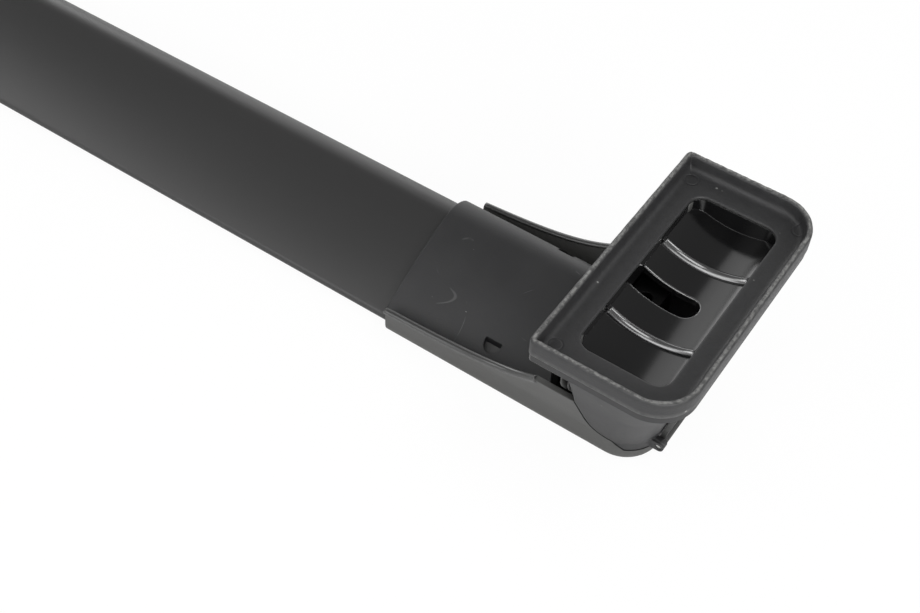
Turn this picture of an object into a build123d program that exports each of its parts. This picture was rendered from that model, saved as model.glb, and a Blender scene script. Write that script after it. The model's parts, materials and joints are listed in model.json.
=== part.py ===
"""Aerofoil roof crossbar with two clamp feet, lying on its load side with the feet upward.

Origin: midway along the bar, on the plane that the two end covers stand on.
+X runs along the bar to the right foot, +Y to the round leading edge, +Z up to the rubber pads.
"""

import os
from math import atan2, cos, degrees, hypot, radians, sin, sqrt, tan

from build123d import *

os.makedirs("parts", exist_ok=True)

# Crossbar extrusion
bar_length = 938.0
bar_wall = 2.0
lead_radius = 12.0
lead_y = 13.5
tail_core = 0.4
tail_y = -29.5
under_radius = 150.0

# Accessory slot in the load face, closed by a rubber strip
slot_y = 3.0
slot_mouth = 11.0
slot_width = 20.0
slot_height = 8.0
strip_flange_width = 16.0
strip_flange = 1.6
strip_fit = 0.2

# Screw ports inside the bar and the screws that hold a foot on it
port_radius = 3.6
port_bore = 2.1
port_bite = 0.8
front_port_angle = 60.0
rear_port_y = -17.0
screw_radius = 2.0
screw_reach = 18.0
screw_head_radius = 4.0
screw_head = 2.6
screw_hole_fit = 0.3
driver_radius = 1.6
driver_depth = 1.5

# Shell of the foot: plan outline at three heights
side_half = 35.0
flare_low = 12.0
crease_height = 37.0
crease_half = 43.0
end_inset = 15.9
end_rake = 11.8
end_corner = 15.0
shell_wall = 2.4
cover_floor = 2.2
cover_round = 6.0
seat_gap = 0.3

# Upper edge of the cover, which is also the seam with the skirt
cover_setback = 2.5
arm_height = 15.2
shoulder_height = 32.0
shoulder_back = 3.0
seam_start = 13.5
seam_run = 13.5
seam_bow = 3.5
arm_reach = 33.0
arm_rise = 2.0
arm_lead = 20.0
seam_height = 12.6
seam_end_height = 8.3
seam_end_back = 8.0
seam_gap = 0.4

# Rubber pad
pad_length = 112.0
pad_width = 56.5
pad_setback = 1.0
pad_seat = 64.5
pad_height = 7.5
pad_flange = 1.4
pad_lip = 2.3
pad_inner_round = 2.0
pad_outer_round = 16.0
lip_bevel = 0.6

# Saddle trough inside the pad window
window_length = 87.0
window_width = 34.5
window_round = 6.0
trough_depth = 8.2
trough_radius = 37.0
trough_wall = 3.4
saddle_wall = 3.0
rib_spacing = 40.0
rib_width = 2.2
rib_height = 1.3
saddle_slot_half = 5.5
saddle_slot_length = 25.5

# Foot body: cradle, plates and webs
sleeve_length = 75.0
sleeve_wall = 2.5
bar_fit = 0.1
rim_plate = 3.0
rim_inset = 0.4
plate_wall = 3.0
rib_wall = 2.6
rib_station = 6.0
rib_low = 27.0
plate_flare_low = 34.0
plate_top_half = 50.0
bearing_low = 30.0
web_half = 30.0
web_low = 30.0
web_wall = 2.4

# Snap windows in the cradle
snap_length = 7.0
snap_depth = 4.6
near_snap_back = 31.0
near_snap_y = -22.8
far_snap_back = 28.0
far_snap_y = 21.6

# Clamp bolt, clip, washer and carriage
bolt_radius = 4.0
bolt_z = 42.0
bolt_hole_fit = 0.3
bolt_head_radius = 6.5
bolt_head = 5.0
bolt_socket = 6.0
bolt_socket_depth = 3.0
bolt_tail = 2.6
clip_wall = 1.0
clip_radius = 6.6
clip_groove = 3.2
clip_play = 0.1
clip_fit = 0.05
washer_radius = 8.0
washer_wall = 1.2
washer_fit = 0.2
thread_fit = 0.05
head_play = 0.1
carriage_length = 12.0
carriage_half = 9.6
carriage_low = 35.5
carriage_roof_gap = 1.6
carriage_start = 2.5
carriage_travel = 11.25
carriage_round = 1.0
hook_bore = 2.5
hook_depth = 4.2
guide_gap = 0.3
guide_wall = 2.4
guide_low = 36.5

# Lid on the raked end, its hinge and its lock
access_half = 23.0
access_low = 18.0
access_high = 55.0
access_round = 4.0
hinge_height = 11.5
knuckle_radius = 1.8
pin_radius = 1.1
pin_fit = 0.05
pin_end = 0.4
lug_width = 3.2
lug_radius = 2.1
lug_gap = 0.4
lid_gap = 0.3
lid_wall = 2.0
lid_length = 49.0
lid_low_half = 23.0
lid_top_half = 37.0
lid_round = 6.0
lid_rim = 1.6
lid_rim_depth = 1.8
lid_rim_fit = 0.6
lock_y = 14.0
lock_up = 31.0
barrel_radius = 6.0
barrel_fit = 0.05
barrel_flange = 7.4
barrel_flange_wall = 1.2
barrel_inside = 3.6
plug_radius = 4.0
plug_fit = 0.05
plug_recess = 0.3
cam_gap = 0.3
cam_wall = 2.0
cam_width = 7.0
cam_length = 14.0
key_width = 1.4
key_length = 5.2
key_depth = 2.5

# Heights that follow from the sizes above
bar_floor = cover_floor + seat_gap
tail_radius = bar_wall + tail_core
lead_z = bar_floor + lead_radius
tail_z = bar_floor + tail_radius
trough_floor = pad_seat - trough_depth
trough_centre_z = trough_floor + trough_radius
saddle_under = trough_radius + trough_wall
rim_low = pad_seat - rim_plate
rim_middle = pad_seat - rim_plate / 2
seam_middle = (shoulder_height + seam_height) / 2
cradle_lip = tail_z + tail_radius + bar_fit
carriage_roof = trough_centre_z - saddle_under - carriage_roof_gap

# Stations along the bar at the right foot
seat_x = bar_length / 2
sleeve_in = seat_x - sleeve_length
cover_in = sleeve_in + cover_setback
pad_in = seat_x + pad_setback
pad_mid = pad_in + pad_width / 2
pad_out = pad_in + pad_width
plate_out = seat_x + plate_wall
rib_in = seat_x + rib_station
rib_out = rib_in + rib_wall
end_low = pad_out - end_inset
window_in = pad_mid - window_width / 2
carriage_in = rib_out + carriage_start
carriage_mid = carriage_in + carriage_length / 2
bearing_in = carriage_in + carriage_length + carriage_travel + guide_gap
bearing_out = bearing_in + rib_wall
washer_out = bearing_out + washer_wall
head_in = washer_out + head_play
clip_out = rib_in - clip_play
clip_in = clip_out - clip_wall
bolt_end = rib_in - bolt_tail

# Half widths of the walls inside the column
plate_half = side_half - shell_wall - seat_gap
guide_half = carriage_half + guide_gap + guide_wall / 2
lug_mid = lid_low_half + lug_gap + lug_width / 2

# Lid and lock positions, measured up the rake from the hinge and out from the end face
access_low_run = (access_low - hinge_height) / cos(radians(end_rake))
access_high_run = (access_high - hinge_height) / cos(radians(end_rake))
rim_wide = 2 * (access_half - lid_rim_fit)
rim_tall = access_high_run - access_low_run - 2 * lid_rim_fit
cam_top = lid_gap - barrel_inside - cam_gap
plug_face = lid_gap + lid_wall + barrel_flange_wall - plug_recess

# Centre and sweep of the long arc that joins the leading and trailing rounds of the aerofoil
chord = hypot(lead_y - tail_y, lead_z - tail_z)
chord_turn = atan2(tail_z - lead_z, tail_y - lead_y)
lead_reach = under_radius - lead_radius
tail_reach = under_radius - tail_radius
along = (lead_reach**2 - tail_reach**2 + chord**2) / (2 * chord)
across = sqrt(lead_reach**2 - along**2)
under_y = lead_y + along * cos(chord_turn) - across * sin(chord_turn)
under_z = lead_z + along * sin(chord_turn) + across * cos(chord_turn)
lead_turn = degrees(atan2(lead_z - under_z, lead_y - under_y))
tail_turn = degrees(atan2(tail_z - under_z, tail_y - under_y))

# Screw port centres in the section of the bar
front_reach = lead_radius - bar_wall - port_radius + port_bite
front_port = (
    lead_y + front_reach * cos(radians(front_port_angle)),
    lead_z + front_reach * sin(radians(front_port_angle)),
)
rear_port = (rear_port_y, bar_floor + bar_wall + port_radius - port_bite)
ports = [front_port, rear_port]


def bar_profile(grow):
    """Aerofoil outline of the bar, grown outward by the given amount: three tangent arcs and a flat."""
    with BuildSketch() as profile:
        with BuildLine():
            CenterArc((lead_y, lead_z), lead_radius + grow, -90, lead_turn + 90)
            CenterArc((under_y, under_z), under_radius + grow, lead_turn, tail_turn - lead_turn)
            CenterArc((tail_y, tail_z), tail_radius + grow, tail_turn, 270 - tail_turn)
            Line((tail_y, bar_floor - grow), (lead_y, bar_floor - grow))
        make_face()
    return profile.sketch


def end_at(height):
    """Station of the raked end face at one height."""
    return end_low + max(height - flare_low, 0.0) * tan(radians(end_rake))


def foot_outline(height, half, inset):
    """Plan outline of the foot shell at one height, with its two outer corners rounded."""
    with BuildSketch(Plane.XY.offset(height)) as outline:
        with BuildLine():
            Polyline(
                (sleeve_in, inset - half),
                (end_at(height) - inset, inset - half),
                (end_at(height) - inset, half - inset),
                (sleeve_in, half - inset),
                close=True,
            )
        make_face()
        fillet(outline.vertices().group_by(Axis.X)[-1], end_corner - inset)
    return outline.sketch


def foot_shell(inset, base):
    """Flared shell form of the foot, from its base height up to the pad seat."""
    heights = [base, flare_low, crease_height, pad_seat]
    halves = [side_half, side_half, crease_half, pad_length / 2 - shell_wall]
    return loft([foot_outline(h, w, inset) for h, w in zip(heights, halves)], ruled=True)


def pad_outline(inset):
    """Plan outline of the rubber pad: nearly square inner corners, generous outer ones."""
    with BuildSketch() as outline:
        with Locations((pad_mid, 0)):
            Rectangle(pad_width - 2 * inset, pad_length - 2 * inset)
        fillet(outline.vertices().group_by(Axis.X)[0], max(pad_inner_round - inset, rim_inset))
        fillet(outline.vertices().group_by(Axis.X)[-1], pad_outer_round - inset)
    return outline.sketch


# Hinge axis and the plane of the raked end face, local x across and local y up the rake
end_plane = Plane(
    origin=(end_at(hinge_height), 0, hinge_height),
    x_dir=(0, 1, 0),
    z_dir=(cos(radians(end_rake)), 0, -sin(radians(end_rake))),
)
hinge = end_plane.from_local_coords((0, 0, lid_gap + knuckle_radius))
lock = end_plane.from_local_coords((lock_y, lock_up, 0))
lock_plane = Plane(origin=lock, x_dir=end_plane.x_dir, z_dir=end_plane.z_dir)
hinge_plane = Plane(origin=(hinge.X, 0, hinge.Z), x_dir=(1, 0, 0), z_dir=(0, -1, 0))

# Aerofoil bar: hollow section with the accessory slot and two screw ports
with BuildPart() as crossbar:
    with BuildSketch(Plane.YZ.offset(-seat_x)):
        add(bar_profile(0.0))
        add(bar_profile(-bar_wall), mode=Mode.SUBTRACT)
        with Locations((slot_y, bar_floor)):
            Rectangle(
                slot_width + 2 * bar_wall,
                slot_height + 2 * bar_wall,
                align=(Align.CENTER, Align.MIN),
            )
        with Locations(*ports):
            Circle(port_radius)
        with Locations((slot_y, bar_floor + bar_wall)):
            Rectangle(slot_width, slot_height, align=(Align.CENTER, Align.MIN), mode=Mode.SUBTRACT)
        with Locations((slot_y, bar_floor)):
            Rectangle(slot_mouth, 2 * bar_wall, mode=Mode.SUBTRACT)
        with Locations(*ports):
            Circle(port_bore, mode=Mode.SUBTRACT)
    extrude(amount=bar_length)
crossbar.part.label = "crossbar"
export_step(crossbar.part, "parts/crossbar.step")

# Rubber strip: a tongue flush with the load face and a flange inside the slot
with BuildPart() as slot_strip:
    with BuildSketch(Plane.YZ.offset(-seat_x)):
        with Locations((slot_y, bar_floor)):
            Rectangle(
                slot_mouth - 2 * strip_fit,
                bar_wall + strip_flange,
                align=(Align.CENTER, Align.MIN),
            )
        with Locations((slot_y, bar_floor + bar_wall + strip_fit)):
            Rectangle(
                strip_flange_width,
                strip_flange,
                align=(Align.CENTER, Align.MIN),
            )
    extrude(amount=bar_length)
slot_strip.part.label = "slot_strip"
export_step(slot_strip.part, "parts/slot_strip.step")

# Outer, middle and inner form of the shell that the skirt and the cover share
shell_form = foot_shell(0.0, 0.0)
shell_middle = foot_shell(shell_wall / 2, cover_floor)
shell_hollow = foot_shell(shell_wall, cover_floor)

# Pocket that the saddle leaves open: the pad window down to the arched trough
with BuildPart() as saddle_pocket:
    with BuildSketch(Plane.XY.offset(bolt_z)):
        with Locations((pad_mid, 0)):
            RectangleRounded(window_width, window_length, window_round)
    extrude(amount=pad_seat)
    with BuildSketch(Plane.XZ):
        with Locations((pad_mid, trough_centre_z)):
            Circle(trough_radius)
    extrude(amount=pad_length, both=True, mode=Mode.INTERSECT)

# Side view of the skirt, the part of the shell above and outside the seam
with BuildPart() as skirt_side:
    with BuildSketch(Plane.XZ):
        with BuildLine():
            seam = Bezier(
                (pad_in + seam_start + seam_gap, shoulder_height + seam_gap),
                (pad_in + seam_start + seam_bow + seam_gap, seam_middle + seam_gap),
                (pad_in + seam_start + seam_bow + seam_gap, seam_height + seam_gap),
                (pad_in + seam_start + seam_run + seam_gap, seam_height + seam_gap),
            )
            Polyline(
                seam @ 1,
                (end_low - seam_end_back, seam_end_height + seam_gap),
                (pad_out, seam_end_height + seam_gap),
                (pad_out, rim_middle),
                (pad_in + seam_start, rim_middle),
                seam @ 0,
            )
        make_face()
    extrude(amount=pad_length, both=True)

# Flared skirt round the outer end of the column, with the access window behind the lid
with BuildPart() as skirt:
    add(shell_form)
    add(shell_hollow, mode=Mode.SUBTRACT)
    add(skirt_side.part, mode=Mode.INTERSECT)
    with BuildSketch(Plane.YZ.offset(bearing_out)):
        with Locations((0, (access_low + access_high) / 2)):
            RectangleRounded(2 * access_half, access_high - access_low, access_round)
    extrude(amount=pad_out - bearing_out, mode=Mode.SUBTRACT)

# Foot body moulding
with BuildPart() as right_foot_body:
    # Bearing wall for the bolt head, braced into the skirt
    with BuildSketch(Plane.YZ.offset(bearing_in)):
        with Locations((0, bearing_low)):
            Rectangle(pad_length, rim_middle - bearing_low, align=(Align.CENTER, Align.MIN))
    extrude(amount=rib_wall)
    add(shell_middle, mode=Mode.INTERSECT)
    add(skirt.part)
    # Rim plate that the pad sits on
    with BuildSketch(Plane.XY.offset(rim_low)):
        add(pad_outline(rim_inset))
    extrude(amount=rim_plate)
    # Saddle block with its arched underside
    with BuildSketch(Plane.XZ):
        with Locations((pad_mid, pad_seat)):
            Rectangle(
                window_width + 2 * saddle_wall,
                trough_depth + trough_wall,
                align=(Align.CENTER, Align.MAX),
            )
        with Locations((pad_mid, trough_centre_z)):
            Circle(saddle_under, mode=Mode.INTERSECT)
    extrude(amount=window_length / 2 + saddle_wall, both=True)
    # End plate at the bar and the inner rib, flared towards the pad
    for station, wall, low in ((seat_x, plate_wall, bar_floor), (rib_in, rib_wall, rib_low)):
        with BuildSketch(Plane.YZ.offset(station)):
            with BuildLine():
                Polyline(
                    (cover_round - plate_half, low),
                    (-plate_half, low + cover_round),
                    (-plate_half, plate_flare_low),
                    (-plate_top_half, rim_middle),
                    (plate_top_half, rim_middle),
                    (plate_half, plate_flare_low),
                    (plate_half, low + cover_round),
                    (plate_half - cover_round, low),
                    close=True,
                )
            make_face()
        extrude(amount=wall)
    # Lengthwise webs near the sides, and the two guide walls beside the carriage
    for offset_y, wall, start, low in (
        (web_half, web_wall, seat_x, web_low),
        (guide_half, guide_wall, rib_in, guide_low),
    ):
        with BuildSketch(Plane.XY.offset(low)):
            with Locations(((start + bearing_out) / 2, offset_y), ((start + bearing_out) / 2, -offset_y)):
                Rectangle(bearing_out - start, wall)
        extrude(amount=rim_middle - low)
    # Cradle over the underside of the bar, open on the load side
    with BuildSketch(Plane.YZ.offset(sleeve_in)):
        add(bar_profile(bar_fit + sleeve_wall))
        add(bar_profile(bar_fit), mode=Mode.SUBTRACT)
        with Locations((0, bar_floor)):
            Rectangle(4 * side_half, 4 * sleeve_wall, align=(Align.CENTER, Align.MAX), mode=Mode.SUBTRACT)
        with Locations((tail_y, cradle_lip)):
            Rectangle(4 * side_half, 4 * side_half, align=(Align.MAX, Align.MAX), mode=Mode.SUBTRACT)
        with Locations((-plate_half, 0)):
            Rectangle(side_half, 4 * side_half, align=(Align.MAX, Align.CENTER), mode=Mode.SUBTRACT)
    extrude(amount=sleeve_length + plate_wall / 2)
    # Hinge lugs on the raked end
    for side in (-1, 1):
        with BuildSketch(hinge_plane.offset(side * lug_mid)):
            Circle(lug_radius)
            with Locations((0, 0)):
                Rectangle(
                    knuckle_radius + lid_gap + shell_wall,
                    2 * lug_radius,
                    align=(Align.MAX, Align.CENTER),
                )
            Circle(pin_radius + pin_fit, mode=Mode.SUBTRACT)
        extrude(amount=lug_width / 2, both=True)
    # Saddle pocket with its two raised ribs and the long slot
    add(saddle_pocket.part, mode=Mode.SUBTRACT)
    for side in (-1, 1):
        with BuildSketch(Plane.XZ.offset(side * rib_spacing / 2)):
            with Locations((pad_mid, pad_seat)):
                Rectangle(window_width, trough_depth + rib_height, align=(Align.CENTER, Align.MAX))
            with Locations((pad_mid, trough_centre_z)):
                Circle(trough_radius + trough_wall / 2, mode=Mode.INTERSECT)
                Circle(trough_radius - rib_height, mode=Mode.SUBTRACT)
        extrude(amount=rib_width / 2, both=True)
    with BuildSketch(Plane.XY.offset(carriage_roof)):
        with Locations((window_in, 0)):
            Rectangle(saddle_slot_length - saddle_slot_half, 2 * saddle_slot_half, align=(Align.MIN, Align.CENTER))
        with Locations((window_in + saddle_slot_length - saddle_slot_half, 0)):
            Circle(saddle_slot_half)
    extrude(amount=pad_seat - carriage_roof, mode=Mode.SUBTRACT)
    # Holes for the clamp bolt and the bar screws
    with BuildSketch(Plane.YZ.offset(rib_in)):
        with Locations((0, bolt_z)):
            Circle(bolt_radius + bolt_hole_fit)
    extrude(amount=bearing_out - rib_in, mode=Mode.SUBTRACT)
    with BuildSketch(Plane.YZ.offset(seat_x)):
        with Locations(*ports):
            Circle(screw_radius + screw_hole_fit)
    extrude(amount=plate_wall, mode=Mode.SUBTRACT)
    # Rounded snap windows through the cradle wall, one near each long edge
    for back, snap_y, bulge in ((near_snap_back, near_snap_y, -snap_depth), (far_snap_back, far_snap_y, snap_depth)):
        with BuildSketch(Plane.XY.offset(bar_floor)):
            with BuildLine():
                flat = Line((pad_in - back - snap_length / 2, snap_y), (pad_in - back + snap_length / 2, snap_y))
                ThreePointArc(flat @ 1, (pad_in - back, snap_y + bulge), flat @ 0)
            make_face()
        extrude(amount=pad_seat, mode=Mode.SUBTRACT)
right_foot_body.part.label = "right_foot_body"
export_step(right_foot_body.part, "parts/right_foot_body.step")

# Rubber pad: a flange with the window and a lip all round
with BuildPart() as right_pad:
    with BuildSketch(Plane.XY.offset(pad_seat)):
        add(pad_outline(0.0))
    extrude(amount=pad_height)
    with BuildSketch(Plane.XY.offset(pad_seat + pad_flange)):
        add(pad_outline(pad_lip))
    extrude(amount=pad_height, mode=Mode.SUBTRACT)
    with BuildSketch(Plane.XY.offset(pad_seat)):
        with Locations((pad_mid, 0)):
            RectangleRounded(window_width, window_length, window_round)
    extrude(amount=pad_height, mode=Mode.SUBTRACT)
    chamfer(right_pad.edges().group_by(Axis.Z)[-1], lip_bevel)
right_pad.part.label = "right_pad"
export_step(right_pad.part, "parts/right_pad.step")

# Side view of the cover: rising arms, a shoulder under the pad and the seam
with BuildPart() as cover_side:
    with BuildSketch(Plane.XZ):
        with BuildLine():
            arm = Bezier(
                (cover_in, arm_height),
                (cover_in + arm_reach, arm_height + arm_rise),
                (pad_in - arm_lead, arm_height + 2 * arm_rise),
                (pad_in - shoulder_back, shoulder_height),
            )
            seam = Bezier(
                (pad_in + seam_start, shoulder_height),
                (pad_in + seam_start + seam_bow, seam_middle),
                (pad_in + seam_start + seam_bow, seam_height),
                (pad_in + seam_start + seam_run, seam_height),
            )
            Line(arm @ 1, seam @ 0)
            Polyline(
                seam @ 1,
                (end_low - seam_end_back, seam_end_height),
                (pad_out, seam_end_height),
                (pad_out, -cover_floor),
                (cover_in, -cover_floor),
                arm @ 0,
            )
        make_face()
    extrude(amount=pad_length, both=True)

# Hollow of the cover, rounded along its floor to keep the wall even
with BuildPart() as cover_hollow:
    add(shell_hollow)
    fillet(cover_hollow.faces().sort_by(Axis.Z)[0].edges().sort_by(Axis.X)[1:], cover_round - shell_wall)

# Moulded cover under the foot: a floor with flared side walls and a closed outer end
with BuildPart() as right_cover:
    add(shell_form)
    fillet(right_cover.faces().sort_by(Axis.Z)[0].edges().sort_by(Axis.X)[1:], cover_round)
    add(cover_hollow.part, mode=Mode.SUBTRACT)
    add(cover_side.part, mode=Mode.INTERSECT)
right_cover.part.label = "right_cover"
export_step(right_cover.part, "parts/right_cover.step")

# Screws through the end plate into the two ports
with BuildPart() as right_bar_screws:
    for port in ports:
        with BuildSketch(Plane.YZ.offset(plate_out)):
            with Locations(port):
                Circle(screw_head_radius)
        extrude(amount=screw_head)
        with BuildSketch(Plane.YZ.offset(plate_out - screw_reach)):
            with Locations(port):
                Circle(screw_radius)
        extrude(amount=screw_reach)
        with BuildSketch(Plane.YZ.offset(plate_out + screw_head - driver_depth)):
            with Locations(port):
                RegularPolygon(driver_radius, 6)
        extrude(amount=driver_depth, mode=Mode.SUBTRACT)
right_bar_screws.part.label = "right_bar_screws"
export_step(right_bar_screws.part, "parts/right_bar_screws.step")

# Clamp bolt: socket head, plain shank and the groove of the clip
with BuildPart() as right_clamp_bolt:
    with BuildSketch(Plane.XZ):
        with BuildLine():
            Polyline(
                (bolt_end, bolt_z),
                (bolt_end, bolt_z + bolt_radius),
                (clip_in - clip_play, bolt_z + bolt_radius),
                (clip_in - clip_play, bolt_z + clip_groove),
                (clip_out + clip_play / 2, bolt_z + clip_groove),
                (clip_out + clip_play / 2, bolt_z + bolt_radius),
                (head_in, bolt_z + bolt_radius),
                (head_in, bolt_z + bolt_head_radius),
                (head_in + bolt_head, bolt_z + bolt_head_radius),
                (head_in + bolt_head, bolt_z),
                close=True,
            )
        make_face()
    revolve(axis=Axis((0, 0, bolt_z), (1, 0, 0)))
    with BuildSketch(Plane.YZ.offset(head_in + bolt_head - bolt_socket_depth)):
        with Locations((0, bolt_z)):
            RegularPolygon(bolt_socket / 2, 6, major_radius=False)
    extrude(amount=bolt_socket_depth, mode=Mode.SUBTRACT)
right_clamp_bolt.part.label = "right_clamp_bolt"
export_step(right_clamp_bolt.part, "parts/right_clamp_bolt.step")

# Open retaining ring in the groove at the inner end of the bolt
with BuildPart() as right_bolt_clip:
    with BuildSketch(Plane.YZ.offset(clip_in)):
        with Locations((0, bolt_z)):
            Circle(clip_radius)
            Circle(clip_groove + clip_fit, mode=Mode.SUBTRACT)
            Rectangle(clip_groove, clip_radius, align=(Align.CENTER, Align.MAX), mode=Mode.SUBTRACT)
    extrude(amount=clip_wall)
right_bolt_clip.part.label = "right_bolt_clip"
export_step(right_bolt_clip.part, "parts/right_bolt_clip.step")

# Washer between the bearing wall and the bolt head
with BuildPart() as right_thrust_washer:
    with BuildSketch(Plane.YZ.offset(bearing_out)):
        with Locations((0, bolt_z)):
            Circle(washer_radius)
            Circle(bolt_radius + washer_fit, mode=Mode.SUBTRACT)
    extrude(amount=washer_wall)
right_thrust_washer.part.label = "right_thrust_washer"
export_step(right_thrust_washer.part, "parts/right_thrust_washer.step")

# Clamp carriage: block on the bolt with a tapped hole under the saddle slot
with BuildPart() as right_clamp_carriage:
    with BuildSketch(Plane.YZ.offset(carriage_in)) as block:
        with Locations((0, carriage_low)):
            Rectangle(2 * carriage_half, carriage_roof - carriage_low, align=(Align.CENTER, Align.MIN))
        fillet(block.vertices(), carriage_round)
    extrude(amount=carriage_length)
    with BuildSketch(Plane.XY.offset(carriage_roof - hook_depth)):
        with Locations((carriage_mid, 0)):
            Circle(hook_bore)
    extrude(amount=hook_depth, mode=Mode.SUBTRACT)
    with BuildSketch(Plane.YZ.offset(carriage_in)):
        with Locations((0, bolt_z)):
            Circle(bolt_radius + thread_fit)
    extrude(amount=carriage_length, mode=Mode.SUBTRACT)
right_clamp_carriage.part.label = "right_clamp_carriage"
export_step(right_clamp_carriage.part, "parts/right_clamp_carriage.step")

# End lid: a tapered plate with a hinge knuckle, an inner rim and a hole for the lock
with BuildPart() as right_lid:
    with BuildSketch(end_plane.offset(lid_gap)) as plate:
        with BuildLine():
            Polyline(
                (-lid_low_half, 0),
                (lid_low_half, 0),
                (lid_low_half, lug_radius + lug_gap),
                (lid_top_half, lid_length),
                (-lid_top_half, lid_length),
                (-lid_low_half, lug_radius + lug_gap),
                close=True,
            )
        make_face()
        fillet(plate.vertices().group_by(Axis.Y)[-1], lid_round)
    extrude(amount=lid_wall)
    with BuildSketch(end_plane.offset(lid_gap)):
        with Locations((0, (access_low_run + access_high_run) / 2)):
            RectangleRounded(rim_wide, rim_tall, access_round)
            RectangleRounded(
                rim_wide - 2 * lid_rim,
                rim_tall - 2 * lid_rim,
                access_round - lid_rim,
                mode=Mode.SUBTRACT,
            )
    extrude(amount=-lid_rim_depth)
    with BuildSketch(hinge_plane):
        Circle(knuckle_radius)
    extrude(amount=lid_low_half, both=True)
    with BuildSketch(hinge_plane):
        Circle(pin_radius + pin_fit)
    extrude(amount=lid_low_half, both=True, mode=Mode.SUBTRACT)
    with BuildSketch(lock_plane.offset(lid_gap)):
        Circle(barrel_radius + barrel_fit)
    extrude(amount=lid_wall, mode=Mode.SUBTRACT)
right_lid.part.label = "right_lid"
export_step(right_lid.part, "parts/right_lid.step")

# Hinge pin of the lid
with BuildPart() as right_hinge_pin:
    with BuildSketch(hinge_plane):
        Circle(pin_radius)
    extrude(amount=lug_mid + lug_width / 2 - pin_end, both=True)
right_hinge_pin.part.label = "right_hinge_pin"
export_step(right_hinge_pin.part, "parts/right_hinge_pin.step")

# Lock housing: a flange on the lid and a short barrel through it
with BuildPart() as right_lock_barrel:
    with BuildSketch(lock_plane.offset(lid_gap + lid_wall)):
        Circle(barrel_flange)
    extrude(amount=barrel_flange_wall)
    with BuildSketch(lock_plane.offset(lid_gap - barrel_inside)):
        Circle(barrel_radius)
    extrude(amount=barrel_inside + lid_wall)
    with BuildSketch(lock_plane.offset(lid_gap - barrel_inside)):
        Circle(plug_radius + plug_fit)
    extrude(amount=barrel_inside + lid_wall + barrel_flange_wall, mode=Mode.SUBTRACT)
right_lock_barrel.part.label = "right_lock_barrel"
export_step(right_lock_barrel.part, "parts/right_lock_barrel.step")

# Key plug with the cam behind the barrel, hanging clear of the window edge
with BuildPart() as right_lock_plug:
    with BuildSketch(lock_plane.offset(cam_top)):
        Circle(plug_radius)
    extrude(amount=plug_face - cam_top)
    with BuildSketch(lock_plane.offset(cam_top)):
        Circle(cam_width / 2)
        Rectangle(cam_width, cam_length, align=(Align.CENTER, Align.MAX))
    extrude(amount=-cam_wall)
    with BuildSketch(lock_plane.offset(plug_face)):
        Rectangle(key_width, key_length)
    extrude(amount=-key_depth, mode=Mode.SUBTRACT)
right_lock_plug.part.label = "right_lock_plug"
export_step(right_lock_plug.part, "parts/right_lock_plug.step")

# Left foot: each piece of the right foot mirrored across the middle of the bar
for right_piece in (
    right_foot_body,
    right_pad,
    right_cover,
    right_bar_screws,
    right_clamp_bolt,
    right_bolt_clip,
    right_thrust_washer,
    right_clamp_carriage,
    right_lid,
    right_hinge_pin,
    right_lock_barrel,
    right_lock_plug,
):
    with BuildPart() as left_piece:
        mirror(right_piece.part, about=Plane.YZ)
    left_piece.part.label = right_piece.part.label.replace("right", "left")
    export_step(left_piece.part, f"parts/{left_piece.part.label}.step")
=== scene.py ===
"""Looks of the roof crossbar: dressed shells, moulded pads, thin trim, finishes, soft light and the camera."""

import json
import math

import bmesh
import bpy
import numpy as np
from mathutils import Matrix, Vector

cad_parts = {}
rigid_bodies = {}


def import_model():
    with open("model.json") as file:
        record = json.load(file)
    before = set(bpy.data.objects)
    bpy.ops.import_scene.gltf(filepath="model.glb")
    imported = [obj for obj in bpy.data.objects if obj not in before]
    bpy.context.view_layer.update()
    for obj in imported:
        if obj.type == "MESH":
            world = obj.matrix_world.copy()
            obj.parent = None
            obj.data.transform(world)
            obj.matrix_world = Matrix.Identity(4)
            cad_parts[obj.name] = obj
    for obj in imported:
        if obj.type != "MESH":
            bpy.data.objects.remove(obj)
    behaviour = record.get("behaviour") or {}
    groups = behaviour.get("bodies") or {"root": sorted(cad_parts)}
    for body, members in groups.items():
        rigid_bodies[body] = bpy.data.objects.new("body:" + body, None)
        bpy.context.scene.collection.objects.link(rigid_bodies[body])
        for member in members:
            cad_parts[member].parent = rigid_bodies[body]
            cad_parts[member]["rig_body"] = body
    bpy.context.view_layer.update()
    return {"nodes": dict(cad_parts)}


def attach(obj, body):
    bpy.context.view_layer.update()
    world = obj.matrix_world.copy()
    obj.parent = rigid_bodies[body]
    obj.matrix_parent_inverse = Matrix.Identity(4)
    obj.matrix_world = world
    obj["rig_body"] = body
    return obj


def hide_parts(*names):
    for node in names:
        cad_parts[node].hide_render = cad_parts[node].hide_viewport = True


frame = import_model()
MM = 0.001

# Stations of the foot in millimetres, right side; the left foot is the mirror image
PAD_IN, PAD_OUT = 470.0, 526.5
PAD_MID = (PAD_IN + PAD_OUT) / 2
PAD_HALF = 56.0
PAD_SEAT, PAD_FLOOR, PAD_TOP = 64.5, 65.9, 72.0
PAD_NEAR_CORNER, PAD_FAR_CORNER = 2.2, 16.0
WINDOW_X, WINDOW_Y, WINDOW_CORNER = 17.25, 43.5, 6.0
WINDOW_IN = PAD_MID - WINDOW_X
PIN_X, PIN_Y, PIN_RADIUS = 22.0, 48.0, 2.6
SADDLE_CENTRE, SADDLE_RADIUS = 93.3, 37.0
RIB_Y = 20.0
SLOT_HALF, SLOT_ROUND = 5.5, 501.0
WALL_HALF, FLARE_LOW, FLARE_RISE, FLARE_OUT = 35.0, 12.0, 25.0, 8.0
END_LOW, END_RAKE, END_CORNER = 510.6, math.radians(11.8), 15.0
WEB_X = (478.2, 481.1)

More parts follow.
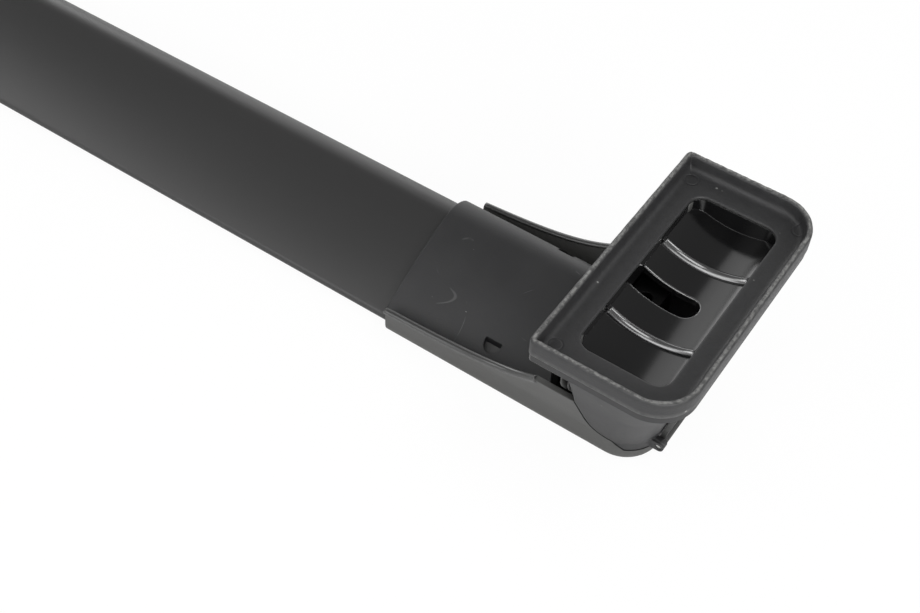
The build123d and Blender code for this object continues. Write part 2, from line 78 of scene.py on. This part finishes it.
# Curves of the side view as x and height: knots of two cubics, and the end of the seam's slope
ARM_KNOTS = np.array([[396.5, 15.2], [429.5, 17.2], [450.0, 19.2], [467.0, 32.0]])
SEAM_KNOTS = np.array([[483.6, 32.0], [487.1, 22.4], [487.1, 12.8], [497.2, 12.8]])
SEAM_BEND = np.array([502.8, 8.5])
SEAM_RUN = np.array([7.6, 0.0])

# Colour sockets of the Mix node, which have the same names as its other sockets
MIX_DARK, MIX_LIGHT, MIX_RESULT = 6, 7, 2


class Wire:
    """A shader socket that takes part in Python arithmetic; each operation adds a Math node."""

    def __init__(self, tree, socket):
        self.tree = tree
        self.socket = socket

    def node(self, kind, settings=None, inputs=None, output=0):
        """Any other node: its settings first, then the values or links of its sockets."""
        made = self.tree.nodes.new(kind)
        for name, value in (settings or {}).items():
            setattr(made, name, value)
        for name, value in (inputs or {}).items():
            if isinstance(value, Wire):
                self.tree.links.new(value.socket, made.inputs[name])
            else:
                made.inputs[name].default_value = value
        return Wire(self.tree, made.outputs[output])

    def maths(self, operation, *values):
        return self.node("ShaderNodeMath", {"operation": operation}, dict(enumerate(values)))

    def __add__(self, other):
        return self.maths("ADD", self, other)

    __radd__ = __add__

    def __sub__(self, other):
        return self.maths("SUBTRACT", self, other)

    def __rsub__(self, other):
        return self.maths("SUBTRACT", other, self)

    def __mul__(self, other):
        return self.maths("MULTIPLY", self, other)

    __rmul__ = __mul__

    def __abs__(self):
        return self.maths("ABSOLUTE", self)

    def most(self, other):
        return self.maths("MAXIMUM", self, other)

    def step(self, low, high):
        """Smooth step from 0 at low to 1 at high."""
        return self.node(
            "ShaderNodeMapRange",
            {"interpolation_type": "SMOOTHSTEP"},
            {"Value": self, "From Min": low, "From Max": high, "To Min": 0.0, "To Max": 1.0},
        )

    def between(self, low, high):
        """Straight run from low where this is 0 to high where it is 1."""
        return self * (high - low) + low

    def tint(self, dark, light):
        """Colour that goes from dark to light as this goes from 0 to 1; each is three numbers or a wire."""
        ends = {MIX_DARK: dark, MIX_LIGHT: light}
        colours = {place: end if isinstance(end, Wire) else (*end, 1.0) for place, end in ends.items()}
        return self.node("ShaderNodeMix", {"data_type": "RGBA"}, {"Factor": self, **colours}, MIX_RESULT)


class Finish:
    """A material with one Principled shader; varying values are linked and the rest set on its sockets."""

    def __init__(self, name, **constants):
        self.material = bpy.data.materials.new(name)
        self.material.use_nodes = True
        self.tree = self.material.node_tree
        self.shader = self.tree.nodes["Principled BSDF"]
        for socket, value in constants.items():
            self.shader.inputs[socket.replace("_", " ")].default_value = value
        coordinates = self.tree.nodes.new("ShaderNodeTexCoord")
        self.place = Wire(self.tree, coordinates.outputs["Object"])
        split = self.tree.nodes.new("ShaderNodeSeparateXYZ")
        self.tree.links.new(self.place.socket, split.inputs[0])
        self.x, self.y, self.z = (Wire(self.tree, split.outputs[i]) * (1.0 / MM) for i in range(3))

    def spaced(self, size, stretch):
        """Object coordinates counted in steps of size millimetres, drawn out by stretch along each axis."""
        scale = tuple(1.0 / MM / (size * s) for s in stretch)
        return self.place.node("ShaderNodeMapping", None, {"Vector": self.place, "Scale": scale})

    def noise(self, size, stretch=(1.0, 1.0, 1.0), detail=3.0):
        """Noise whose features are about size millimetres, drawn out by stretch along each axis."""
        steps = self.spaced(size, stretch)
        return self.place.node(
            "ShaderNodeTexNoise",
            None,
            {"Vector": steps, "Scale": 1.0, "Detail": detail, "Roughness": 0.55},
        )

    def specks(self, spacing, low, high, stretch=(1.0, 1.0, 1.0)):
        """Round specks on a jittered grid: one where the distance to the nearest point is under low."""
        steps = self.spaced(spacing, stretch)
        near = self.place.node("ShaderNodeTexVoronoi", {"feature": "F1"}, {"Vector": steps, "Scale": 1.0})
        return 1.0 - near.step(low, high)

    def feed(self, socket, wire):
        self.tree.links.new(wire.socket, self.shader.inputs[socket])

    def relief(self, height, depth, edge=0.0):
        """Bump of the given depth in millimetres over edges that are rounded by the given radius."""
        inputs = {"Height": height, "Distance": depth * MM, "Strength": 1.0}
        if edge:
            inputs["Normal"] = self.place.node("ShaderNodeBevel", {"samples": 6}, {"Radius": edge * MM})
        self.feed("Normal", self.place.node("ShaderNodeBump", None, inputs))


def anodised_bar():
    """Satin black anodised aluminium: faint lengthwise extrusion lines and soft clouding."""
    bar = Finish("anodised_bar", Metallic=0.0, IOR=1.6)
    lines = bar.noise(0.5, (400.0, 1.0, 1.0), detail=2.0)
    cloud = bar.noise(60.0, (3.0, 1.0, 1.0))
    mixed = lines * 0.4 + cloud * 0.6
    bar.feed("Base Color", mixed.tint((0.0085, 0.0083, 0.0083), (0.013, 0.0127, 0.0127)))
    bar.feed("Roughness", (cloud * 0.5 + lines * 0.5).between(0.38, 0.48))
    bar.relief(lines, depth=0.006, edge=0.3)
    return bar.material


def moulded_foot():
    """Black moulded plastic: fine spark grain with pale specks and scratches outside, smooth gloss in the saddle
    and on the inner ribs."""
    foot = Finish("moulded_foot", IOR=1.5)
    across = abs(abs(foot.x) - PAD_MID)
    inside_x = 1.0 - across.step(WINDOW_X - 0.1, WINDOW_X + 0.4)
    inside_y = 1.0 - abs(foot.y).step(WINDOW_Y, WINDOW_Y + 0.4)
    pocket = inside_x * inside_y * foot.z.step(45.0, 50.0)
    inward = 1.0 - abs(foot.x).step(WINDOW_IN, WINDOW_IN + 2.0)
    inner = abs(foot.x).step(PAD_IN - 0.8, PAD_IN - 0.4) * inward
    smooth = pocket.most(inner)
    grained = 1.0 - smooth
    grain = foot.noise(0.55, detail=2.0)
    cloud = foot.noise(14.0)
    scuff = foot.specks(9.0, 0.03, 0.06, (1.0, 0.35, 1.0)) * foot.noise(25.0).step(0.52, 0.62) * grained
    contour = abs(foot.noise(26.0, detail=0.0) - 0.5)
    scratch = (1.0 - contour.step(0.001, 0.005)) * foot.noise(17.0).step(0.55, 0.62) * grained
    scuff = scuff.most(scratch * 0.28)
    shade = (grain * 0.35 + cloud * 0.65).tint((0.0095, 0.0095, 0.0103), (0.021, 0.021, 0.0218))
    shade = (scuff * 0.7).tint(shade, (0.20, 0.20, 0.20))
    foot.feed("Base Color", smooth.tint(shade, (0.005, 0.005, 0.0052)))
    gloss = 0.15
    foot.feed("Roughness", grained * (cloud.between(0.44, 0.56) - gloss) + gloss)
    foot.relief(grain * (1.0 - smooth * 0.9), depth=0.05, edge=0.5)
    return foot.material


def satin_shell(name, light=1.0, coat=0.0):
    """Grey-black moulded shell of the covers and lids: fine grain, soft lengthwise flow and rubbed edges; light
    scales the tones, darker for the polished bead and, as painted shade, for the lid.
    """
    shell = Finish(name, IOR=1.5, Coat_Weight=coat)
    grain = shell.noise(0.5, detail=2.0)
    flow = shell.noise(9.0, (6.0, 1.0, 1.0))
    cloud = shell.noise(30.0)
    mixed = grain * 0.25 + flow * 0.35 + cloud * 0.4
    tones = [tuple(c * light for c in tone) for tone in ((0.039, 0.039, 0.0375), (0.062, 0.062, 0.0595))]
    shell.feed("Base Color", mixed.tint(*tones))
    shell.feed("Roughness", flow.between(0.42, 0.56))
    shell.relief(grain, depth=0.045, edge=0.6)
    return shell.material


def dusty_rubber():
    """Moulded rubber: mottled grey-black, pale specks of dust, a lip rubbed light, partly wear and partly a
    painted highlight along the crest and the lower edge, and round pin marks.
    """
    pad = Finish("dusty_rubber", IOR=1.48)
    wear_and_highlight = pad.place.node("ShaderNodeAttribute", {"attribute_name": "wear_and_highlight"}, output="Fac")
    mottle = pad.noise(3.0)
    grit = pad.noise(0.8, detail=2.0)
    base = (mottle * 0.6 + grit * 0.4).tint((0.011, 0.011, 0.0115), (0.028, 0.028, 0.029))
    # Pale along the lip's crest and the pad's lower edge: partly rubbed wear, partly painted highlight.
    rubbed = wear_and_highlight * (pad.noise(1.4, detail=4.0).step(0.36, 0.62) * 0.7 + 0.3)
    dust = pad.specks(6.5, 0.05, 0.09) * pad.noise(8.0).step(0.45, 0.55)
    pale = (rubbed * 0.6).most(dust * 0.8)
    pad.feed("Base Color", pale.tint(base, (0.30, 0.30, 0.29)))
    pad.feed("Roughness", mottle.between(0.42, 0.60))
    reach_x, reach_y = abs(abs(pad.x) - PAD_MID) - PIN_X, abs(pad.y) - PIN_Y
    square = reach_x * reach_x + reach_y * reach_y
    radius = square.maths("SQRT", square)
    ring = 1.0 - abs(radius - PIN_RADIUS).step(0.15, 0.5)
    pad.relief(grit * 0.5 + mottle * 0.35 - ring * 0.9, depth=0.14)
    return pad.material


def plain_rubber():
    """Black extruded rubber with fine lengthwise grooves."""
    strip = Finish("plain_rubber", IOR=1.48, Roughness=0.6)
    phase = strip.y * 4.2
    groove = phase.maths("SINE", phase)
    cloud = strip.noise(20.0, (5.0, 1.0, 1.0))
    strip.feed("Base Color", cloud.tint((0.014, 0.014, 0.014), (0.026, 0.026, 0.026)))
    strip.relief(groove, depth=0.12, edge=0.2)
    return strip.material


def polished_rib():
    """Ridges of the saddle rubbed to a polish: black under a clear gloss, faintly uneven along the ridge."""
    ridge = Finish("polished_rib", IOR=1.9, Coat_Weight=1.0, Coat_IOR=1.8, Coat_Roughness=0.12)
    rub = ridge.noise(3.0, (4.0, 1.0, 1.0))
    ridge.feed("Base Color", rub.tint((0.005, 0.005, 0.0052), (0.010, 0.010, 0.0104)))
    ridge.feed("Roughness", rub.between(0.16, 0.28))
    ridge.relief(rub, depth=0.01)
    return ridge.material


def painted_seam_shadow():
    """Painted shadow for the unlit depth of the parting seam: near black and dull, with a little dust."""
    groove = Finish("painted_seam_shadow", IOR=1.3)
    dust = groove.noise(2.0)
    groove.feed("Base Color", dust.tint((0.002, 0.002, 0.002), (0.008, 0.008, 0.008)))
    groove.feed("Roughness", dust.between(0.80, 0.95))
    groove.relief(dust, depth=0.02)
    return groove.material


def plated_steel(name, dark, light, low, high):
    """Plated metal: turned marks, faint clouding and uneven sheen."""
    steel = Finish(name, Metallic=1.0)
    marks = steel.noise(0.4, (1.0, 12.0, 12.0), detail=2.0)
    cloud = steel.noise(4.0)
    steel.feed("Base Color", (marks * 0.4 + cloud * 0.6).tint(dark, light))
    steel.feed("Roughness", cloud.between(low, high))
    steel.relief(marks, depth=0.01, edge=0.25)
    return steel.material


def placed(name, data):
    """Object of a finished mesh, lamp or lens, linked to the scene at the origin."""
    piece = bpy.data.objects.new(name, data)
    bpy.context.scene.collection.objects.link(piece)
    return piece


def dressed(node, finish, split=32.0):
    """Smooth shaded copy of a CAD node: coincident points are merged and edges sharper than split stay hard."""
    source = frame["nodes"][node]
    mesh = source.data.copy()
    mesh.name = node + "_look"
    shape = bmesh.new()
    shape.from_mesh(mesh)
    bmesh.ops.remove_doubles(shape, verts=shape.verts, dist=2e-6)
    for face in shape.faces:
        face.smooth = True
    for edge in shape.edges:
        edge.smooth = len(edge.link_faces) == 2 and edge.calc_face_angle(0.0) < math.radians(split)
    shape.to_mesh(mesh)
    shape.free()
    mesh.materials.clear()
    mesh.materials.append(finish)
    look = placed(node + "_look", mesh)
    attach(look, source["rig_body"])
    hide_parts(node)


def closed_skin(name, points, finish, body, ring=False, wear_and_highlight=None):
    """Closed skin over a grid of points, periodic along its second axis and, as a ring, along its first axis too;
    coincident points are merged and the faces turned outwards."""
    rows, columns = points.shape[:2]
    index = np.arange(rows * columns).reshape(rows, columns)
    after = np.roll(index, -1, axis=0)
    if not ring:
        index, after = index[:-1], after[:-1]
    quads = np.stack([index, np.roll(index, -1, axis=1), np.roll(after, -1, axis=1), after], axis=-1)
    mesh = bpy.data.meshes.new(name)
    mesh.from_pydata((points.reshape(-1, 3) * MM).tolist(), [], quads.reshape(-1, 4).tolist())
    if wear_and_highlight is not None:
        layer = mesh.attributes.new("wear_and_highlight", "FLOAT", "POINT")
        layer.data.foreach_set("value", wear_and_highlight.ravel().astype(np.float32))
    shape = bmesh.new()
    shape.from_mesh(mesh)
    bmesh.ops.remove_doubles(shape, verts=shape.verts, dist=1e-7)
    bmesh.ops.recalc_face_normals(shape, faces=shape.faces)
    shape.to_mesh(mesh)
    shape.free()
    mesh.polygons.foreach_set("use_smooth", np.ones(len(mesh.polygons), bool))
    mesh.materials.append(finish)
    piece = placed(name, mesh)
    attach(piece, body)
    return piece


def rounded_loop(half_x, half_y, near, far, straight=56, arc=14):
    """Rounded rectangle about the origin as a closed loop: four quarter arcs, radius near at low x and far at
    high x, joined by evenly divided straight sides, with the same count of points whatever the sizes."""
    turn = np.linspace(0.0, math.pi / 2, arc)
    corners = (
        (half_x, half_y, far, 0.0),
        (-half_x, half_y, near, 1.0),
        (-half_x, -half_y, near, 2.0),
        (half_x, -half_y, far, 3.0),
    )
    arcs = []
    for cx, cy, radius, quarter in corners:
        angle = turn + quarter * math.pi / 2
        centre = np.array([cx - math.copysign(radius, cx), cy - math.copysign(radius, cy)])
        arcs.append(centre + radius * np.stack([np.cos(angle), np.sin(angle)], axis=-1))
    share = np.linspace(0.0, 1.0, straight + 2)[1:-1, None]
    sides = [a[-1] + (b[0] - a[-1]) * share for a, b in zip(arcs, arcs[1:] + arcs[:1])]
    return np.concatenate([p for pair in zip(arcs, sides) for p in pair])


def pad_outline(inset):
    """Outline of the pad, drawn in by inset."""
    half_x = (PAD_OUT - PAD_IN) / 2 - inset
    return rounded_loop(half_x, PAD_HALF - inset, max(PAD_NEAR_CORNER - inset, 0.5), PAD_FAR_CORNER - inset)


def pad_window(grow):
    """Outline of the pad's window, let out by grow."""
    corner = WINDOW_CORNER + grow
    return rounded_loop(WINDOW_X + grow, WINDOW_Y + grow, corner, corner)


def bell(value, middle, width):
    """Bell curve: 1 at the middle, falling with the square of the distance over the width."""
    return np.exp(-(((value - middle) / width) ** 2))


def pad_skin(side, way):
    """Moulded rubber pad: rings from the outer wall over the rounded lip, down its draught, across the flange and
    round the window edge, each ring a rounded loop; the lip wanders by a tenth of a millimetre."""
    wall = [
        (0.45, PAD_SEAT), (0.15, PAD_SEAT + 0.12), (0.0, PAD_SEAT + 0.5), (0.0, 67.0), (0.0, 69.5),
        (0.02, 70.9), (0.14, 71.45), (0.42, 71.82), (0.85, PAD_TOP), (1.35, PAD_TOP), (1.8, 71.85),
        (2.12, 71.5), (2.28, 70.9), (2.42, 69.4), (2.6, 67.9), (2.9, 66.9), (3.5, 66.25), (4.4, 65.95),
        (5.4, PAD_FLOOR),
    ]
    edge = [(0.9, PAD_FLOOR), (0.35, 65.82), (0.08, 65.6), (0.0, 65.2), (0.0, PAD_SEAT)]
    rings = [(pad_outline(inset), height) for inset, height in wall]
    floor, rim = rings[-1][0], pad_window(edge[0][0])
    rings += [(floor + (rim - floor) * share, PAD_FLOOR) for share in (0.35, 0.7)]
    rings += [(pad_window(grow), height) for grow, height in edge]
    count = len(floor)
    trip = np.linspace(0.0, 2 * math.pi, count, endpoint=False)
    waves = ((0.06, 37, 1.3), (0.05, 61, 0.0), (0.04, 97, 0.4))
    wander = sum(size * np.sin(number * trip + phase) for size, number, phase in waves)
    reach = 45.0
    points = np.zeros((len(rings), count, 3))
    for row, (loop, height) in enumerate(rings):
        lip = bell(height, PAD_TOP, 0.8)
        points[row, :, :2] = loop * (1.0 + (wander * lip / reach)[:, None])
        points[row, :, 2] = height - lip * np.abs(wander) * 0.9
    points[:, :, 0] = way * (points[:, :, 0] + PAD_MID)
    level = points[:, :, 2]
    # Paleness along the lip's crest and the pad's lower edge: partly rubbed wear, partly painted highlight.
    wear_and_highlight = np.clip(bell(level, 71.93, 0.10) + 0.25 * bell(level, 64.9, 0.5), 0.0, 1.0)
    piece = closed_skin(side + "_pad_look", points, rubber_finish, "base", True, wear_and_highlight)
    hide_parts(side + "_pad")


def swept(name, path, across, up, profile, finish):
    """Closed profile carried along a path: each path point adds the profile's two offsets along its own across and
    up directions; both ends are drawn in to a point so that the skin is closed."""
    points = path[:, None] + profile[None, :, :1] * across[:, None] + profile[None, :, 1:] * up[:, None]
    ends = [np.repeat(points[i].mean(axis=0)[None, None], len(profile), axis=1) for i in (0, -1)]
    closed_skin(name, np.concatenate([ends[0], points, ends[1]]), finish, "base")


def ellipse(half_across, half_up, count, lift=0.0):
    """Profile of an ellipse: cosine across and sine up, raised by lift."""
    turn = np.linspace(0.0, 2 * math.pi, count, endpoint=False)
    return np.stack([half_across * np.cos(turn), half_up * np.sin(turn) + lift], axis=-1)


def cubic(knots, count):
    """Cubic Bezier curve of four knots, at evenly spaced shares."""
    share = np.linspace(0.0, 1.0, count)[:, None]
    rest = 1 - share
    return (
        rest**3 * knots[0] + 3 * share * rest**2 * knots[1]
        + 3 * share**2 * rest * knots[2] + share**3 * knots[3]
    )


def square_to(path, up):
    """Unit directions square to the path and to its up directions."""
    across = np.cross(np.gradient(path, axis=0), up)
    return across / np.linalg.norm(across, axis=1)[:, None]


def wall_half(height):
    """Half width of the foot's outer wall: even up to FLARE_LOW, then out by FLARE_OUT in FLARE_RISE."""
    return WALL_HALF + np.maximum(height - FLARE_LOW, 0.0) * FLARE_OUT / FLARE_RISE


def on_trough(x, y, way):
    """Points on the saddle's trough and its normals there: a cylinder along y about SADDLE_CENTRE."""
    sine = (x - PAD_MID) / SADDLE_RADIUS
    cosine = np.sqrt(1.0 - sine**2)
    path = np.stack([way * x, y, SADDLE_CENTRE - SADDLE_RADIUS * cosine], axis=-1)
    return path, np.stack([-way * sine, 0 * x, cosine], axis=-1)


def saddle_ribs(side, way):
    """Two rounded ridges across the saddle: a section with flattened flanks, the superellipse of power 1.45,
    carried along the arc of the trough."""
    power, half, height, sunk = 1.45, 2.0, 1.95, -0.4
    reach = math.asin((WINDOW_X - 0.15) / SADDLE_RADIUS)
    x = PAD_MID + SADDLE_RADIUS * np.sin(np.linspace(-reach, reach, 60))
    round_trip = ellipse(1.0, 1.0, 24)
    flanks = np.sign(round_trip) * np.abs(round_trip) ** (2 / power)
    profile = np.stack([half * flanks[:, 0], np.maximum(flanks[:, 1], sunk) * height], axis=-1)
    for number, y in enumerate((-RIB_Y, RIB_Y)):
        path, up = on_trough(x, 0 * x + y, way)
        across = np.tile([0.0, 1.0, 0.0], (len(x), 1))
        swept(f"{side}_saddle_rib_{number}", path, across, up, profile, rib_finish)


def slot_rim(side, way):
    """Rounded rim of the saddle slot: a small circle sunk flush with the trough and carried along one side, round
    the half circle of the outer end and back, each point lifted to the arc of the trough."""
    half = SLOT_HALF + 0.05
    run = np.linspace(WINDOW_IN + 0.3, SLOT_ROUND, 40)
    turn = np.linspace(math.pi / 2, -math.pi / 2, 32)[1:-1]
    x = np.concatenate([run, SLOT_ROUND + half * np.cos(turn), run[::-1]])
    y = np.concatenate([0 * run + half, half * np.sin(turn), 0 * run - half])
    path, up = on_trough(x, y, way)
    profile = ellipse(0.6, 0.6, 16, lift=-0.57)
    swept(f"{side}_slot_rim", path, square_to(path, up), up, profile, rib_finish)


def rolled_edges(side, way):
    """Rounded bead on the upper edge of each cover arm: an ellipse carried along the arm's cubic curve."""
    curve = cubic(ARM_KNOTS, 90)
    along = np.gradient(curve, axis=0)
    along /= np.linalg.norm(along, axis=1)[:, None]
    half = wall_half(curve[:, 1]) - 1.2
    profile = ellipse(1.45, 1.25, 20, lift=-0.6)
    for number, lean in enumerate((-1.0, 1.0)):
        path = np.stack([way * curve[:, 0], lean * half, curve[:, 1]], axis=-1)
        up = np.stack([-way * along[:, 1], 0 * half, along[:, 0]], axis=-1)
        across = np.tile([0.0, lean, 0.0], (len(curve), 1))
        swept(f"{side}_arm_bead_{number}", path, across, up, profile, bead_finish)


def gap_webs(side, way):
    """Two thin webs below each inner corner of the pad: a narrow ellipse carried up, drawn in at the foot."""
    height = np.linspace(28.0, 64.2, 12)
    flare = 40.5 - np.maximum(40.0 - height, 0.0) * 0.65
    across, up = (np.tile(axis, (len(height), 1)) for axis in ([1.0, 0.0, 0.0], [0.0, 1.0, 0.0]))
    profile = ellipse(0.55, 3.0, 20)
    for number, (x, lean) in enumerate((x, lean) for lean in (-1.0, 1.0) for x in WEB_X):
        path = np.stack([0 * height + way * x, lean * flare, height], axis=-1)
        # The webs take the lighter cover finish, a painted highlight standing in for their lit edges.
        swept(f"{side}_gap_web_{number}", path, across, up, profile, cover_finish)


def seam_shadow_lines(side, way):
    """Painted shadow of the parting seam between skirt and cover: a flat dark strip, an ellipse carried along the
    seam's cubic, the slope after it and a level run, laid on the flared wall and round its corner of radius
    END_CORNER."""
    share = np.linspace(0.0, 1.0, 50)[1:, None]
    slope = SEAM_KNOTS[3] + (SEAM_BEND - SEAM_KNOTS[3]) * share
    level = SEAM_BEND + SEAM_RUN * share**0.6
    x, z = np.concatenate([cubic(SEAM_KNOTS, 50), slope, level]).T
    centre_x = END_LOW + np.maximum(z - FLARE_LOW, 0.0) * math.tan(END_RAKE) - END_CORNER
    sine = np.clip((x - centre_x) / END_CORNER, 0.0, 1.0)
    out = np.sqrt(1.0 - sine**2)
    half = wall_half(z) - END_CORNER + END_CORNER * out
    profile = ellipse(0.34, 0.12, 16)
    for number, lean in enumerate((-1.0, 1.0)):
        path = np.stack([way * x, lean * half, z], axis=-1)
        up = np.stack([way * sine, lean * out, 0 * x], axis=-1)
        swept(f"{side}_seam_{number}", path, square_to(path, up), up, profile, seam_shadow_finish)


# Finishes of the pieces
bar_finish = anodised_bar()
foot_finish = moulded_foot()
cover_finish = satin_shell("satin_cover")
bead_finish = satin_shell("polished_bead", light=0.3, coat=0.8)
# The lid is the satin shell darkened to 0.45: painted shade for the shadow on the end lid
lid_painted_shade_finish = satin_shell("satin_lid_painted_shade", light=0.45)
rubber_finish = dusty_rubber()
strip_finish = plain_rubber()
# Near-black strip that is painted shadow inside the parting seam
seam_shadow_finish = painted_seam_shadow()
rib_finish = polished_rib()
steel_finish = plated_steel("zinc_steel", (0.36, 0.36, 0.35), (0.52, 0.52, 0.51), 0.28, 0.42)
coated_finish = plated_steel("black_coated_steel", (0.012, 0.012, 0.012), (0.024, 0.024, 0.024), 0.40, 0.55)
lock_finish = plated_steel("satin_chrome", (0.50, 0.50, 0.50), (0.62, 0.62, 0.62), 0.18, 0.30)

# The pieces, first the bar and then both feet
dressed("crossbar", bar_finish)
dressed("slot_strip", strip_finish)
for side, way in (("right", 1.0), ("left", -1.0)):
    dressed(side + "_foot_body", foot_finish)
    dressed(side + "_cover", cover_finish)
    dressed(side + "_lid", lid_painted_shade_finish)
    for name in ("bar_screws", "clamp_bolt", "bolt_clip", "thrust_washer", "hinge_pin"):
        dressed(f"{side}_{name}", steel_finish)
    dressed(side + "_clamp_carriage", coated_finish)
    for name in ("lock_barrel", "lock_plug"):
        dressed(f"{side}_{name}", lock_finish)
    saddle_ribs(side, way)
    slot_rim(side, way)
    rolled_edges(side, way)
    gap_webs(side, way)
    seam_shadow_lines(side, way)
    pad_skin(side, way)

# Pale floor that shows white to the camera and keeps a soft contact shadow
FLOOR_HALF = 9.0
SHOWN_WHITE = 0.94
WHITE = (1.0, 1.0, 1.0, 1.0)
corners = [(x * FLOOR_HALF, y * FLOOR_HALF, 0.0) for x, y in ((-1, -1), (1, -1), (1, 1), (-1, 1))]
floor_mesh = bpy.data.meshes.new("floor")
floor_mesh.from_pydata(corners, [], [(0, 1, 2, 3)])
floor = placed("floor", floor_mesh)
paper = bpy.data.materials.new("white_table")
paper.use_nodes = True
tree = paper.node_tree
tree.nodes.clear()
ray = Wire(tree, tree.nodes.new("ShaderNodeLightPath").outputs["Is Camera Ray"])
matte = ray.node("ShaderNodeBsdfDiffuse", None, {"Color": (0.86, 0.86, 0.86, 1.0)})
glow = ray.node("ShaderNodeEmission", None, {"Color": WHITE, "Strength": 1.0})
seen = ray.node("ShaderNodeMixShader", None, {0: SHOWN_WHITE, 1: matte, 2: glow})
surface = ray.node("ShaderNodeMixShader", None, {0: ray, 1: matte, 2: seen})
out = tree.nodes.new("ShaderNodeOutputMaterial")
tree.links.new(surface.socket, out.inputs["Surface"])
floor_mesh.materials.append(paper)

# World: white to the camera, to everything else a soft studio tent that is brightest at the horizon
TENT_TOP, TENT_FALL, TENT_LEAST = 0.72, 0.65, 0.30
world = bpy.data.worlds.new("tent")
bpy.context.scene.world = world
world.use_nodes = True
sky = world.node_tree
sky.nodes.clear()
camera_ray = Wire(sky, sky.nodes.new("ShaderNodeLightPath").outputs["Is Camera Ray"])
heading = camera_ray.node("ShaderNodeTexCoord", output="Generated")
lift = camera_ray.node("ShaderNodeSeparateXYZ", None, {0: heading}, output="Z")
level = (1.0 - lift.step(0.0, TENT_TOP)) * TENT_FALL + TENT_LEAST
soft = camera_ray.node("ShaderNodeBackground", None, {"Color": WHITE, "Strength": level})
white = camera_ray.node("ShaderNodeBackground", None, {"Color": WHITE, "Strength": 1.0})
both = camera_ray.node("ShaderNodeMixShader", None, {0: camera_ray, 1: soft, 2: white})
world_out = sky.nodes.new("ShaderNodeOutputWorld")
sky.links.new(both.socket, world_out.inputs["Surface"])


def looking(place, aim):
    """Turn of a lamp or camera that stands at a place and looks at a point."""
    return (Vector(aim) - Vector(place)).to_track_quat("-Z", "Y").to_matrix()


# Rectangular lamps: name, place and aim in metres, width, height and power in watts
LAMPS = (
    ("front_box", (0.1, -1.7, 0.75), (0.45, 0.0, 0.03), 1.6, 0.7, 7.0),
    ("rib_box", (-0.18, -1.22, 1.03), (0.5, 0.0, 0.06), 1.2, 0.4, 3.2),
    ("right_box", (1.9, -0.9, 0.8), (0.5, 0.0, 0.03), 0.8, 0.6, 22.0),
    ("back_box", (0.3, 1.9, 0.45), (0.45, 0.0, 0.03), 2.4, 0.6, 6.5),
    ("far_left_box", (-1.1, 1.2, 0.6), (0.5, 0.0, 0.05), 0.8, 0.45, 4.0),
    ("pocket_box", (-0.36, 1.01, 0.93), (0.5, 0.0, 0.06), 0.6, 0.5, 1.1),
    ("near_left_box", (-1.0, -0.65, 0.9), (0.1, 0.0, 0.03), 0.6, 0.5, 3.5),
    ("ridge_box", (1.1, 0.1, 1.3), (0.49, 0.0, 0.06), 0.7, 0.5, 4.4),
    ("key_box", (0.52, -0.5, 1.0), (0.5, 0.0, 0.05), 0.5, 0.35, 1.8),
)
for name, place, aim, width, height, power in LAMPS:
    lamp = bpy.data.lights.new(name, "AREA")
    lamp.shape = "RECTANGLE"
    lamp.size, lamp.size_y, lamp.energy = width, height, power
    placed(name, lamp).matrix_world = Matrix.Translation(place) @ looking(place, aim).to_4x4()

# Camera at the photograph's angle: place in metres, and the picture's width and focal length in pixels
CAMERA_PLACE = (0.6021, -0.3133, 0.429)
AZIMUTH, ELEVATION, ROLL = math.radians(31.7), math.radians(49.9), math.radians(-3.4)
PICTURE_WIDTH, FOCAL_LENGTH, SENSOR_WIDTH = 920.0, 1400.0, 36.0
level_reach = math.cos(ELEVATION)
back = Vector((math.sin(AZIMUTH) * level_reach, -math.cos(AZIMUTH) * level_reach, math.sin(ELEVATION)))
turn = looking((0.0, 0.0, 0.0), -back) @ Matrix.Rotation(-ROLL, 3, "Z")
lens = bpy.data.cameras.new("camera")
lens.sensor_fit = "HORIZONTAL"
lens.sensor_width = SENSOR_WIDTH
lens.lens = SENSOR_WIDTH * FOCAL_LENGTH / PICTURE_WIDTH
lens.clip_start, lens.clip_end = 0.01, 50.0
camera = placed("camera", lens)
camera.matrix_world = Matrix.Translation(CAMERA_PLACE) @ turn.to_4x4()
bpy.context.scene.camera = camera
bpy.context.scene.view_settings.view_transform = "Standard"
